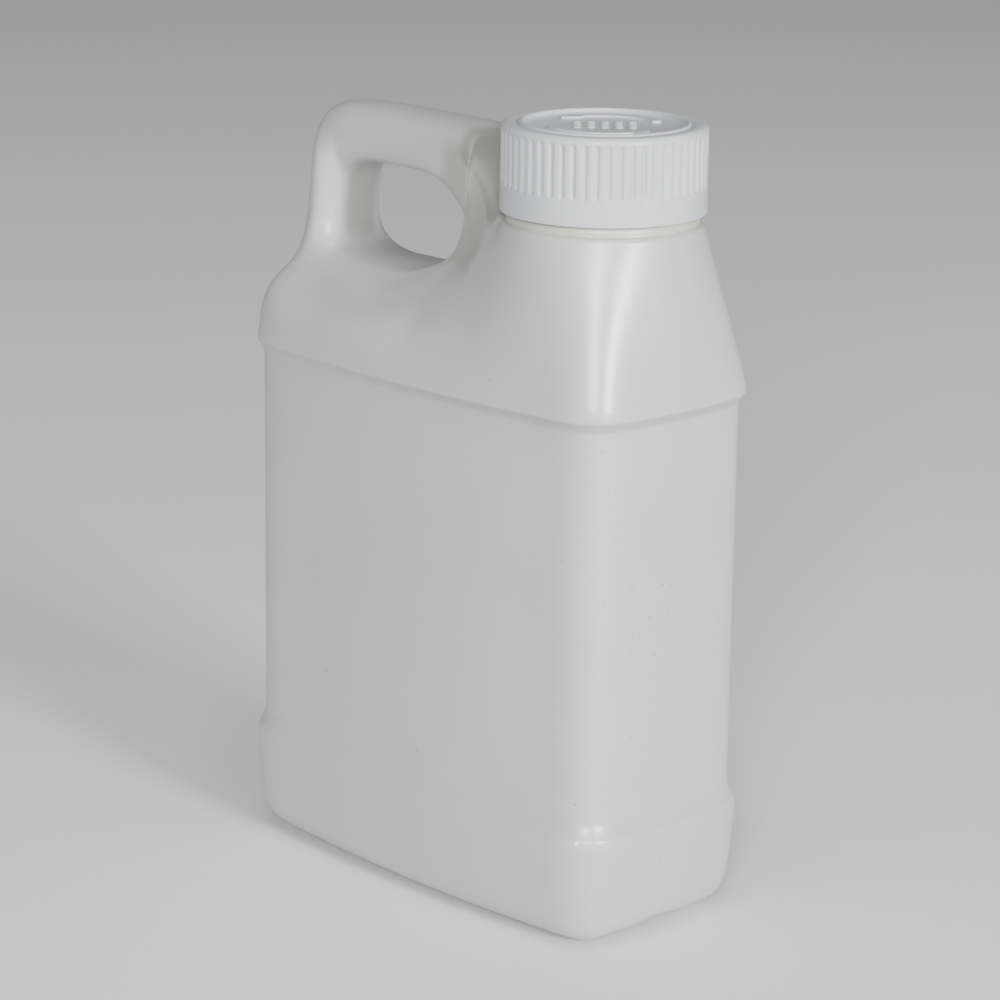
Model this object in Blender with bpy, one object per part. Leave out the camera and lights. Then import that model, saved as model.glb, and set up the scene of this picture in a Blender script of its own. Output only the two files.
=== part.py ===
"""F-style jug with a side handle and a ribbed screw cap.

The jug is one blow-moulded body. Only its front half is laid out, as a cage of quad patches that
share their borders: base, wall with its two ridges, shoulder, handle loop, deck under the hole and
neck. The cage is mirrored through the parting plane Y = 0 and smoothed by subdivision.
+X runs along the wide face towards the neck, +Z up, and the origin is under the middle of the body.
"""
import math

import bmesh
import bpy
import numpy as np

# Body, metres. The panel is the recessed wall between the two ridges.
PANEL_HALF_LENGTH = 0.0563
PANEL_HALF_DEPTH = 0.0270
CORNER_RADIUS = 0.0084
WIDE_BOW = 0.0040
NARROW_BOW = 0.0036
BASE_RIDGE_Z = 0.0246
BASE_RIDGE_OUT = 0.0018
SHOULDER_RIDGE_Z = 0.1179
SHOULDER_RIDGE_OUT = 0.0014
FOOT_RADIUS = 0.0096
FOOT_TAPER = 0.0010
CHANNEL_DEPTH = 0.0021
CHANNEL_HALF_WIDTH = 0.0088
CHANNEL_SHARES = (0, 0.26, 0.60)
RUNNER_HALF_LENGTH = 0.0430

# The step from the base ridge in to the panel and the one from the panel out to the shoulder ridge:
# distance from the ridge's height, and share of that ridge's projection
STEP_IN = ((0.0014, 0.86), (0.0030, 0.36), (0.0046, 0.0))
STEP_OUT = ((0.0034, 0.0), (0.0023, 0.36), (0.0012, 1.06))
CREST = ((0.0006, 1.05), (0.0026, 0.75))
PANEL_END_GAP = 0.0066

# Columns of the wall: shares of the straight stretch along the wide face, corner arc to corner arc,
# and the share of each bow that is spent where its corner arc begins
WIDE_SHARES = (-1, -0.76, -0.5, -0.24, 0.02, 0.22, 0.42, 0.62, 0.82, 1)
NARROW_SHARES = (0, 0.42, 1)
WIDE_REACH = 0.68
NARROW_REACH = 0.36

# Neck and cap, both turned about one axis in the parting plane
NECK_X = 0.0324
SHOULDER_TOP_RADIUS = 0.0217
SHOULDER_TOP_Z = 0.1516
NECK_RING_RADIUS = 0.0204
NECK_RADIUS = 0.0189
NECK_COLUMNS = 11
CAP_BOTTOM_Z = 0.1557
CAP_TOP_Z = 0.1741
CAP_RADIUS = 0.02175
CAP_THICKNESS = 0.0022
FIT_GAP = 0.0004
PANEL_RADIUS = 0.0167
PANEL_DEPTH = 0.0007
RIM_HEIGHT = 0.0003
RIBS = 55
RIB_BOTTOM_Z = 0.1613
RIB_TOP_Z = 0.1727
GROOVE_DEPTH = 0.0006

# Handle loop in the parting plane
LEG_OUTER_X = -0.0575
LEG_LEAN = 0.0020
LEG_ROOT_Z = 0.1335
BAR_TOP_Z = 0.1702
BAR_CORNER = 0.0084
BAR_END_X = 0.0005
BAR_NOSE = 0.0028
SLOPE = ((-0.0006, 0.1646), (0.0032, 0.1602), (0.0070, 0.1563), (0.0096, 0.1530))
HOLE_LEFT_X = -0.0450
HOLE_LEAN = 0.0020
HOLE_RIGHT_X = 0.0000
HOLE_BOTTOM_Z = 0.1360
HOLE_TOP_Z = 0.1567
HOLE_LOW_LEFT = 0.0040
HOLE_HIGH_LEFT = 0.0036
HOLE_HIGH_RIGHT = 0.0165
HOLE_LOW_RIGHT = 0.0012
HOLE_POINTS = 20
DECK_HALF_WIDTH = 0.0105
DECK_DROP = 0.0026
DECK_DISH = 0.09
DECK_DISH_X = -0.0200

# Where along its outside line each of the handle's sixteen sections lies, leg root to neck
LINE_SHARES = (0, 0.067, 0.133, 0.2, 0.267, 0.333, 0.4, 0.475, 0.55, 0.625, 0.7, 0.772, 0.802, 0.835,
               0.91, 1)
LOOP_SECTIONS = len(LINE_SHARES)

# Half-width and squareness of the handle at some of those sections
SECTION_AT = (0, 1, 2, 9, 12, 15)
SECTION_HALF_WIDTH = (0.0115, 0.0084, 0.0080, 0.0083, 0.0083, 0.0076)
SECTION_POWER = (2.6, 2.8, 2.8, 3.4, 4.0, 4.0)
SECTION_SWELL = 1.04

# Columns of the shoulder drawn together where the thumb recess meets the neck's shoulder, how round
# the shoulder is over the columns there, how it draws in across the depth, and the sharpness of the
# edge between the two
PINCH_COLUMNS = (6, 7, 8, 9)
PINCH = (0, 0.0016, -0.0034, 0)
ROUNDING_COLUMNS = (7, 8, 9)
ROUNDING = (1, 0.25, 0)
FALL_COLUMNS = (3, 5)
FALL = (2.0, 1.2)
EDGE_COLUMN = 8
EDGE_ROWS = 4
EDGE_CREASE = 0.35

# Rows of the wall at the lips of the two ridges, and how sharp they are
LIP_ROWS = (6, 12, 14)
LIP_CREASE = 0.5

SUBDIVISIONS = 1
WELD = 0.00002


def clear_scene():
    for obj in list(bpy.data.objects):
        bpy.data.objects.remove(obj)


def material(name, color, roughness):
    mat = bpy.data.materials.new(name)
    mat.use_nodes = True
    shader = mat.node_tree.nodes["Principled BSDF"]
    shader.inputs["Base Color"].default_value = (*color, 1.0)
    shader.inputs["Roughness"].default_value = roughness
    shader.inputs["Metallic"].default_value = 0.0
    return mat


def arc(center, radius, start, stop, count):
    """Points on a circle in a plane, angles in degrees."""
    angles = np.radians(np.linspace(start, stop, count))
    return np.c_[center[0] + radius * np.cos(angles), center[1] + radius * np.sin(angles)]


def resample(path, shares):
    """Points at the given shares of a polyline's length."""
    steps = np.linalg.norm(np.diff(path, axis=0), axis=1)
    reached = np.r_[0, np.cumsum(steps)]
    wanted = np.array(shares) * reached[-1]
    return np.c_[np.interp(wanted, reached, path[:, 0]), np.interp(wanted, reached, path[:, 1])]


def through(points):
    """Cage points around a closed loop whose smoothed curve passes through the points given."""
    count = len(points)
    blend = np.zeros((count, count))
    for i in range(count):
        blend[i, i] = 4 / 6
        blend[i, (i - 1) % count] = 1 / 6
        blend[i, (i + 1) % count] = 1 / 6
    return np.linalg.solve(blend, points)


def wall_loop(out):
    """Front half of one level loop round the body, from the handle end to the neck end."""
    half_length = PANEL_HALF_LENGTH + out
    half_depth = PANEL_HALF_DEPTH + out
    radius = max(CORNER_RADIUS + out, 0.001)
    arc_x = half_length - radius - NARROW_BOW * NARROW_REACH
    arc_y = half_depth - radius - WIDE_BOW * WIDE_REACH
    wide_lean = math.atan(2 * WIDE_BOW * arc_x / half_length ** 2)
    narrow_lean = math.atan(2 * NARROW_BOW * arc_y / half_depth ** 2)
    start = -90 + math.degrees(wide_lean)
    corner = arc((arc_x, -arc_y), radius, start, -math.degrees(narrow_lean), 3)
    wide_x, wide_y = corner[0]
    narrow_x, narrow_y = corner[2]
    wide = [(wide_x * s, -half_depth + (wide_y + half_depth) * s * s) for s in WIDE_SHARES[1:-1]]
    narrow = [(half_length - (half_length - narrow_x) * s * s, narrow_y * s)
              for s in NARROW_SHARES[1::-1]]
    right = np.vstack([corner, narrow])
    left = right[::-1] * (-1, 1)
    half = np.vstack([left, wide, right])
    back = half[-2:0:-1] * (1, -1)
    return through(np.vstack([half, back]))[:len(half)]


def wall_rows():
    """Height and distance outside the panel of each level loop, foot to shoulder ridge."""
    low = BASE_RIDGE_Z
    high = SHOULDER_RIDGE_Z
    foot = BASE_RIDGE_OUT - FOOT_TAPER
    base = [
        (0, foot - FOOT_RADIUS),
        (FOOT_RADIUS * 0.14, foot - FOOT_RADIUS * 0.42),
        (FOOT_RADIUS * 0.58, foot - FOOT_RADIUS * 0.06),
        (FOOT_RADIUS * 1.3, foot + FOOT_TAPER * 0.2),
        (low - 0.0035, BASE_RIDGE_OUT),
        (low - 0.0004, BASE_RIDGE_OUT + 0.0002),
    ]
    step_in = [(low + rise, BASE_RIDGE_OUT * share) for rise, share in STEP_IN]
    panel = [(low + PANEL_END_GAP, 0), ((low + high) / 2, 0), (high - PANEL_END_GAP, 0)]
    step_out = [(high - drop, SHOULDER_RIDGE_OUT * share) for drop, share in STEP_OUT]
    crest = [(high + rise, SHOULDER_RIDGE_OUT * share) for rise, share in CREST]
    return base + step_in + panel + step_out + crest


def neck_loop(radius, z):
    """Front half of a level circle round the neck, from the handle side to the far end."""
    angles = np.radians(np.linspace(180, 360, NECK_COLUMNS))
    # The cage stands outside the circle that its smoothed curve follows
    reach = radius * 3 / (2 + math.cos(math.pi / (NECK_COLUMNS - 1)))
    return np.c_[NECK_X + reach * np.cos(angles), reach * np.sin(angles), np.full(NECK_COLUMNS, z)]


def hole_outline():
    """Points round the hole in the parting plane, clockwise from its lower left corner."""
    left, right = HOLE_LEFT_X, HOLE_RIGHT_X
    bottom, top = HOLE_BOTTOM_Z, HOLE_TOP_Z
    low_left = (left + HOLE_LOW_LEFT, bottom + HOLE_LOW_LEFT)
    high_left = (left + HOLE_LEAN + HOLE_HIGH_LEFT, top - HOLE_HIGH_LEFT)
    path = np.vstack([
        arc(low_left, HOLE_LOW_LEFT, 225, 180, 6),
        arc(high_left, HOLE_HIGH_LEFT, 180, 90, 8),
        arc((right - HOLE_HIGH_RIGHT, top - HOLE_HIGH_RIGHT), HOLE_HIGH_RIGHT, 90, 0, 10),
        arc((right - HOLE_LOW_RIGHT, bottom + HOLE_LOW_RIGHT), HOLE_LOW_RIGHT, 0, -90, 8),
        arc(low_left, HOLE_LOW_LEFT, 270, 232, 5),
    ])
    return resample(np.vstack([path, path[:1]]), np.linspace(0, 1, HOLE_POINTS + 1))[:-1]


def handle_outline():
    """Points along the outside of the handle loop, from the leg's root to the neck."""
    top_x = LEG_OUTER_X + LEG_LEAN
    path = np.vstack([
        [(LEG_OUTER_X, LEG_ROOT_Z), (LEG_OUTER_X, LEG_ROOT_Z + 0.0080)],
        arc((top_x + BAR_CORNER, BAR_TOP_Z - BAR_CORNER), BAR_CORNER, 175, 90, 8),
        arc((BAR_END_X - BAR_NOSE, BAR_TOP_Z - BAR_NOSE), BAR_NOSE, 90, -10, 6),
        SLOPE,
        [(NECK_X - SHOULDER_TOP_RADIUS, SHOULDER_TOP_Z)],
    ])
    return resample(path, LINE_SHARES)


def loop_section(outer, inner, half_width, power):
    """Seven points round the front half of the handle, outer line to inner line."""
    angles = np.radians(np.linspace(0, 180, 7))
    across = np.sign(np.cos(angles)) * np.abs(np.cos(angles)) ** (2 / power)
    deep = np.abs(np.sin(angles)) ** (2 / power)
    deep[[0, -1]] = 0
    x, z = (outer + inner) / 2
    reach_x, reach_z = (outer - inner) / 2
    return np.c_[x + reach_x * across, -half_width * SECTION_SWELL * deep, z + reach_z * across]


def handle_sections():
    outer = handle_outline()
    inner = hole_outline()
    widths = np.interp(range(LOOP_SECTIONS), SECTION_AT, SECTION_HALF_WIDTH)
    powers = np.interp(range(LOOP_SECTIONS), SECTION_AT, SECTION_POWER)
    sections = np.array([loop_section(*at) for at in zip(outer, inner, widths, powers)])
    sections[-1, :3] = neck_loop(SHOULDER_TOP_RADIUS, SHOULDER_TOP_Z)[:3]
    sections[-1, 3, 2] -= 0.0030
    return sections


def deck_sections(sections):
    """Rows over the deck under the hole, from the handle side of the web back to the leg."""
    rows = [sections[-1, 3:]]
    angles = np.radians((90, 60, 30, 0))
    for x, z in hole_outline()[LOOP_SECTIONS:]:
        drop = DECK_DROP + DECK_DISH * max(0.0, x - DECK_DISH_X)
        y = -DECK_HALF_WIDTH * np.sin(angles) ** 0.8
        rows.append(np.c_[np.full(4, x), y, z - drop * (1 - np.cos(angles) ** 0.8)])
    rows.append(sections[0, 3:])
    return np.array(rows)


def wall_patch(sections, deck):
    """All level rows of the wall and shoulder, foot to the line where handle and neck begin."""
    rows = []
    for z, out in wall_rows():
        flat = wall_loop(out)
        rows.append(np.c_[flat, np.full(len(flat), z)])
    for row, share in zip(rows[:4], (1.0, 0.8, 0.35, 0.08)):
        row[:, 2] += channel(row[:, 1]) * share
    neck = neck_loop(SHOULDER_TOP_RADIUS, SHOULDER_TOP_Z)
    top = np.vstack([sections[0, :4], deck[-2:0:-1, 0], sections[-1, 3:4], neck[2:]])
    start = rows[-1]
    # The shoulder rounds over at the handle end and rises straight to the neck
    rounding = np.interp(range(len(top)), ROUNDING_COLUMNS, ROUNDING)
    fall = np.interp(range(len(top)), FALL_COLUMNS, FALL)
    pinch = np.interp(range(len(top)), PINCH_COLUMNS, PINCH)
    for share in (0.25, 0.5, 0.75):
        x = start[:, 0] + (top[:, 0] - start[:, 0]) * share ** (1 + 1.1 * rounding)
        x += pinch * 4 * share * (1 - share)
        y = start[:, 1] + (top[:, 1] - start[:, 1]) * share ** (1 + fall * rounding)
        z = start[:, 2] + (top[:, 2] - start[:, 2]) * share ** (1 - 0.1 * rounding)
        rows.append(np.c_[x, y, z])
    rows.append(top)
    return np.array(rows)


def channel(y):
    """Rise of the underside towards the channel that runs along its middle."""
    near = np.clip(1 - np.abs(y) / CHANNEL_HALF_WIDTH, 0, 1)
    return CHANNEL_DEPTH * near ** 1.5


def base_patch(wall):
    """Underside: two flat runners with the channel between them."""
    edge = wall[0]
    front = edge[3:15]
    left = edge[:4]
    right = edge[:-5:-1]
    spread = np.linspace(0, 1, len(front))[:, None]
    rows = []
    for j, share in enumerate(CHANNEL_SHARES):
        row = left[j] + (right[j] - left[j]) * spread
        row[1:-1, 0] = front[1:-1, 0]
        row[1:-1, 1] = front[1:-1, 1] * share
        row[1:-1, 2] = channel(row[1:-1, 1])
        rows.append(row)
    rows.append(front)
    return np.array(rows)


def neck_patch():
    """Rounded top of the shoulder, the ring under the cap and the plain neck inside the cap."""
    ring = SHOULDER_TOP_Z
    top = CAP_TOP_Z - CAP_THICKNESS - FIT_GAP
    profile = [
        (SHOULDER_TOP_RADIUS, ring),
        (SHOULDER_TOP_RADIUS - 0.0001, ring + 0.0010),
        (SHOULDER_TOP_RADIUS - 0.0006, ring + 0.0017),
        (NECK_RING_RADIUS - 0.0001, ring + 0.0018),
        (NECK_RING_RADIUS + 0.0001, ring + 0.0028),
        (NECK_RING_RADIUS - 0.0003, ring + 0.0038),
        (NECK_RADIUS, ring + 0.0039),
        (NECK_RADIUS, ring + 0.0052),
        (NECK_RADIUS, top - 0.0012),
        (NECK_RADIUS, top - 0.0002),
        (NECK_RADIUS - 0.0010, top),
        (NECK_RADIUS * 0.5, top),
        (0.0, top),
    ]
    return np.array([neck_loop(radius, z) for radius, z in profile])


def add_patch(bm, points):
    """One grid of quads whose corners are the points of a rows x columns array."""
    rows, columns = points.shape[:2]
    made = bmesh.ops.create_grid(bm, x_segments=columns - 1, y_segments=rows - 1, size=1)
    for vert in made["verts"]:
        j = round((vert.co.x + 1) / 2 * (columns - 1))
        i = round((vert.co.y + 1) / 2 * (rows - 1))
        vert.co = points[i, j]


def on_line(vert, points):
    """True for a corner of the cage, on either side of the parting plane, that is one of the points."""
    place = np.array((vert.co.x, -abs(vert.co.y), vert.co.z))
    return np.linalg.norm(points - place, axis=1).min() < WELD


def on_runner(edge):
    """True for an edge of the two flat strips that the jug stands on."""
    return all(v.co.z < WELD and abs(v.co.y) > CHANNEL_HALF_WIDTH and abs(v.co.x) < RUNNER_HALF_LENGTH
               for v in edge.verts)


def jug_mesh():
    sections = handle_sections()
    deck = deck_sections(sections)
    wall = wall_patch(sections, deck)
    bm = bmesh.new()
    for points in (base_patch(wall), wall, sections, deck, neck_patch()):
        add_patch(bm, points)
    bmesh.ops.remove_doubles(bm, verts=bm.verts, dist=WELD)
    bmesh.ops.dissolve_degenerate(bm, dist=WELD / 2, edges=bm.edges)
    bmesh.ops.mirror(bm, geom=bm.verts[:] + bm.edges[:] + bm.faces[:], axis="Y", merge_dist=WELD)
    bmesh.ops.recalc_face_normals(bm, faces=bm.faces)
    shoulder_edge = wall[-EDGE_ROWS:, EDGE_COLUMN]
    lips = [wall[row] for row in LIP_ROWS]
    crease = bm.edges.layers.float.new("crease_edge")
    for edge in bm.edges:
        if on_runner(edge):
            edge[crease] = 1.0
        elif all(on_line(vert, shoulder_edge) for vert in edge.verts):
            edge[crease] = EDGE_CREASE
        elif any(all(on_line(vert, lip) for vert in edge.verts) for lip in lips):
            edge[crease] = LIP_CREASE
    mesh = bpy.data.meshes.new("jug")
    bm.to_mesh(mesh)
    bm.free()
    return mesh


def add_object(name, mesh, mat):
    mesh.shade_smooth()
    mesh.materials.append(mat)
    obj = bpy.data.objects.new(name, mesh)
    bpy.context.scene.collection.objects.link(obj)
    return obj


def cap_profile():
    """Radius and height along the cup, from the middle of its outside to the middle of its inside."""
    low = CAP_BOTTOM_Z
    top = CAP_TOP_Z
    inner = NECK_RADIUS + FIT_GAP
    return [
        (0.0, top - PANEL_DEPTH),
        (PANEL_RADIUS, top - PANEL_DEPTH),
        (PANEL_RADIUS + 0.0004, top + RIM_HEIGHT),
        (PANEL_RADIUS + 0.0013, top + RIM_HEIGHT),
        (PANEL_RADIUS + 0.0016, top),
        (CAP_RADIUS - 0.0010, top),
        (CAP_RADIUS - 0.0002, top - 0.0006),
        (CAP_RADIUS, RIB_TOP_Z),
        (CAP_RADIUS, RIB_TOP_Z - 0.0004),
        (CAP_RADIUS, RIB_BOTTOM_Z + 0.0005),
        (CAP_RADIUS, RIB_BOTTOM_Z),
        (CAP_RADIUS + 0.0001, low + 0.0006),
        (CAP_RADIUS - 0.0004, low),
        (inner, low),
        (inner, top - CAP_THICKNESS),
        (0.0, top - CAP_THICKNESS),
    ]


def cap_mesh():
    """The cap's profile spun about its axis, with a groove sunk between each two ribs."""
    steps = 3 * RIBS
    bm = bmesh.new()
    profile = [bm.verts.new((radius, 0, z)) for radius, z in cap_profile()]
    edges = [bm.edges.new(pair) for pair in zip(profile, profile[1:])]
    bmesh.ops.spin(bm, geom=profile + edges, cent=(0, 0, 0), axis=(0, 0, 1), angle=math.tau,
                   steps=steps, use_merge=True)
    bmesh.ops.remove_doubles(bm, verts=bm.verts, dist=WELD)
    for vert in bm.verts:
        step = round(math.atan2(vert.co.y, vert.co.x) / math.tau * steps)
        ribbed = RIB_BOTTOM_Z + 0.0004 < vert.co.z < RIB_TOP_Z - 0.0003
        outside = math.hypot(vert.co.x, vert.co.y) > CAP_RADIUS - 0.0001
        if step % 3 == 0 and ribbed and outside:
            vert.co.x *= 1 - GROOVE_DEPTH / CAP_RADIUS
            vert.co.y *= 1 - GROOVE_DEPTH / CAP_RADIUS
    bmesh.ops.recalc_face_normals(bm, faces=bm.faces)
    mesh = bpy.data.meshes.new("cap")
    bm.to_mesh(mesh)
    bm.free()
    return mesh


def build_cap():
    obj = add_object("cap", cap_mesh(), material("cap_plastic", (0.66, 0.67, 0.68), 0.30))
    obj.data.set_sharp_from_angle(angle=math.radians(40))
    obj.location.x = NECK_X


def build_jug():
    obj = add_object("jug", jug_mesh(), material("jug_plastic", (0.62, 0.62, 0.60), 0.38))
    smooth = obj.modifiers.new("smooth", "SUBSURF")
    smooth.levels = SUBDIVISIONS
    smooth.render_levels = SUBDIVISIONS


def main():
    clear_scene()
    build_jug()
    build_cap()


main()
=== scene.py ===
"""F-style jug: the blow-moulded body, its ribbed cap, the studio and the camera.

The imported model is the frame. The body is the same cage of quad patches as the solid, smoothed
further, and the cap is turned again with rounded ribs. Lengths are in metres, +X towards the neck,
+Z up, and the parting plane of the mould is Y = 0.
"""
import math

import bmesh
import bpy
import numpy as np
from bpy.props import FloatProperty, FloatVectorProperty, IntProperty, PointerProperty
from mathutils import Matrix, Vector


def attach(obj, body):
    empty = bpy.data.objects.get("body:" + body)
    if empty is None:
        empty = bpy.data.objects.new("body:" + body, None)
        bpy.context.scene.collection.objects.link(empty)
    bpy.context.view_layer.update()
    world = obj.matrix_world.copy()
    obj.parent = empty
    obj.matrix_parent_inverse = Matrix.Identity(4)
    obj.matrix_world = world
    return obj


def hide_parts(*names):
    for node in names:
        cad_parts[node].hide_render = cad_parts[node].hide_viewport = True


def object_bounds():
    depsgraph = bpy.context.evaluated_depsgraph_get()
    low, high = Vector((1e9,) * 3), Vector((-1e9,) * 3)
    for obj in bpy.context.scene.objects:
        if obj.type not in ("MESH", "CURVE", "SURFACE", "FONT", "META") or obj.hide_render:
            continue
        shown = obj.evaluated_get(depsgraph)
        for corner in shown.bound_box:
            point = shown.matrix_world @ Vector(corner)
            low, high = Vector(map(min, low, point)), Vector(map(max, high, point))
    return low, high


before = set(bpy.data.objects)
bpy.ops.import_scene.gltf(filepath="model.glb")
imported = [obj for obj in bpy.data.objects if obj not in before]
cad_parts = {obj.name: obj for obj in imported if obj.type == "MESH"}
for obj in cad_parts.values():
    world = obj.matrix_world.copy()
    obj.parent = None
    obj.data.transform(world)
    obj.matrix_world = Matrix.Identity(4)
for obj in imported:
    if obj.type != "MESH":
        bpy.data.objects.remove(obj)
CAD_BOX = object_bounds()

bl_info = {
    "name": "F-style jug",
    "version": (1, 0, 0),
    "blender": (4, 5, 0),
    "location": "3D View > Sidebar > Jug",
    "description": "Makes the finished jug, its cap and the studio round the packed model",
    "category": "Add Mesh",
}

# The step from the base ridge in to the panel and the one from the panel out to the shoulder ridge:
# distance from the ridge's height, and share of that ridge's projection
STEP_IN = ((0.0014, 0.86), (0.0030, 0.36), (0.0046, 0.0))
STEP_OUT = ((0.0034, 0.0), (0.0023, 0.36), (0.0012, 1.06))
CREST = ((0.0006, 1.05), (0.0026, 0.75))
PANEL_END_GAP = 0.0066

# Rounding of the foot: height over the floor and distance inside its wall, in shares of its radius
FOOT_ROUND = ((0, 1), (0.14, 0.42), (0.58, 0.06))
FOOT_TOP = 1.3
FOOT_TAPER = 0.0010

# Columns of the wall: shares of the straight stretch along the wide face, corner arc to corner arc,
# and the share of each bow that is spent where its corner arc begins
WIDE_SHARES = (-1, -0.76, -0.5, -0.24, 0.02, 0.22, 0.42, 0.62, 0.82, 1)
NARROW_SHARES = (0, 0.42, 1)
WIDE_REACH = 0.68
NARROW_REACH = 0.36

# Channel along the underside: where its rows lie between the middle and the wall, and how it fades
# out over the wall's lowest rows
CHANNEL_DEPTH = 0.0021
CHANNEL_HALF_WIDTH = 0.0088
CHANNEL_SHARES = (0, 0.26, 0.60)
CHANNEL_FADE = (1.0, 0.8, 0.35, 0.08)
RUNNER_HALF_LENGTH = 0.0430

# Handle loop and finger hole in the parting plane
LEG_OUTER_X = -0.0575
LEG_LEAN = 0.0020
LEG_ROOT_Z = 0.1335
BAR_CORNER = 0.0084
BAR_END_X = 0.0005
BAR_NOSE = 0.0028
SLOPE = ((-0.0006, 0.1646), (0.0032, 0.1602), (0.0070, 0.1563), (0.0096, 0.1530))
HOLE_LEFT_X = -0.0450
HOLE_LEAN = 0.0020
HOLE_RIGHT_X = 0.0000
HOLE_BOTTOM_Z = 0.1360
HOLE_TOP_Z = 0.1567
HOLE_LOW_LEFT = 0.0040
HOLE_HIGH_LEFT = 0.0036
HOLE_HIGH_RIGHT = 0.0165
HOLE_LOW_RIGHT = 0.0012
HOLE_POINTS = 20

# Deck under the hole: its fall to the sides, which grows towards the neck from DECK_DISH_X on
DECK_HALF_WIDTH = 0.0105
DECK_DROP = 0.0026
DECK_DISH = 0.09
DECK_DISH_X = -0.0200
DECK_POWER = 0.8

# Where along its outside line each of the handle's sixteen sections lies, leg root to neck
LINE_SHARES = (0, 0.067, 0.133, 0.2, 0.267, 0.333, 0.4, 0.475, 0.55, 0.625, 0.7, 0.772, 0.802,
               0.835, 0.91, 1)
LOOP_SECTIONS = len(LINE_SHARES)

# Half-width and squareness of the handle at some of those sections
SECTION_AT = (0, 1, 2, 9, 12, 15)
SECTION_HALF_WIDTH = (0.0115, 0.0088, 0.0084, 0.0085, 0.0083, 0.0076)
SECTION_POWER = (2.4, 2.3, 2.3, 3.0, 4.0, 4.0)
SECTION_SWELL = 1.04
NECK_ROOT_DROP = 0.0030

# Rows of the shoulder between its ridge and the handle or neck. It rounds over at the handle end,
# in X, across the depth and upwards, and rises straight to the neck
SHOULDER_ROWS = (0.25, 0.5, 0.75)
ROUNDING_COLUMNS = (7, 8, 9)
ROUNDING = (1, 0.25, 0)
ROUNDING_X = 1.1
FALL_COLUMNS = (3, 5)
FALL = (2.0, 1.2)
ROUNDING_Z = 0.1

# Columns drawn together where the thumb recess meets the neck's shoulder, and the edge between them
PINCH_COLUMNS = (6, 7, 8, 9)
PINCH = (0, 0.0016, -0.0034, 0)
EDGE_COLUMN = 8
EDGE_ROWS = 4
EDGE_CREASE = 0.35

# Rows of the wall at the lips of the two ridges, and how sharp they are
LIP_ROWS = (6, 12, 14)
LIP_CREASE = 0.5

# Edge of the slope beside the cap: its column in the handle's last sections, and how sharp it is
SLOPE_COLUMN = 2
SLOPE_SECTIONS = 4
SLOPE_CREASE = 0.10

# Corners of the cage that are closer than this become one
WELD = 0.00002

# Neck and cap, turned about one axis
NECK_COLUMNS = 11
FIT_GAP = 0.0004
CAP_THICKNESS = 0.0022
CAP_SHARP = math.radians(50)

# Ribs: shares of half a rib's pitch for its crest and its flank, how far the crest is rounded as a
# share of the groove's depth, and the length over which a groove runs out
STEPS_PER_RIB = 12
RIB_CREST = 0.50
RIB_FLANK = 0.42
RIB_ROUND = 0.10
RIB_END = 0.0010

# Raised marks on the cap: two turning arrows, angles in radians, and rows of dots between them
ARROW_STARTS = (0.35, 0.35 + math.pi)
ARROW_RADIUS = 0.0118
ARROW_WIDTH = 0.0020
ARROW_TURN = 1.7
HEAD_TURN = 1.86
HEAD_SIZE = 0.0026
MARK_HEIGHT = 0.0006
MARK_SINK = 0.0001
MARK_TAPER = 0.97
DOT_RADIUS = 0.0009
DOT_FORM = (1.1, 1.1, 0.65)
DOT_STEPS = (0.0029, 0.0030)
MARKS_TURN = 0.8
MARKS_SHARP = math.radians(35)
MARKS_BEVEL = 0.00012

# Camera, at the photograph's viewing angle
CAMERA_PLACE = (0.5350, -0.5081, 0.2880)
CAMERA_AZIMUTH = math.radians(46.36)
CAMERA_ELEVATION = math.radians(15.33)
CAMERA_ROLL = math.radians(0.75)
CAMERA_LENS_MM = 124.25
CAMERA_SENSOR_MM = 36
PHOTO_SIZE = 1000

# Softboxes: name, degrees round from the wide face, degrees up, and size. All stand equally far off
# and are slightly cool, so that lit places are cooler than shaded ones
SOFTBOXES = (("top_softbox", 46, 70, 0.90), ("side_softbox", 83, 14, 0.44),
             ("front_softbox", 42, 20, 0.55))
SOFTBOX_DISTANCE = 2.2
SOFTBOX_COLOUR = (0.980, 0.985, 1.0)
FLOOR_HALF_SIZE = 6


def length(name, description, default):
    return FloatProperty(name=name, description=description, default=default, min=0.0,
                         precision=5, unit="LENGTH")


def share(name, description, default):
    return FloatProperty(name=name, description=description, default=default, min=0.0, max=1.0,
                         subtype="FACTOR")


def colour(name, description, default):
    return FloatVectorProperty(name=name, description=description, default=default, size=3,
                               min=0.0, max=1.0, subtype="COLOR")


def power(name, description, default):
    return FloatProperty(name=name, description=description, default=default, min=0.0,
                         subtype="POWER")


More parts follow.
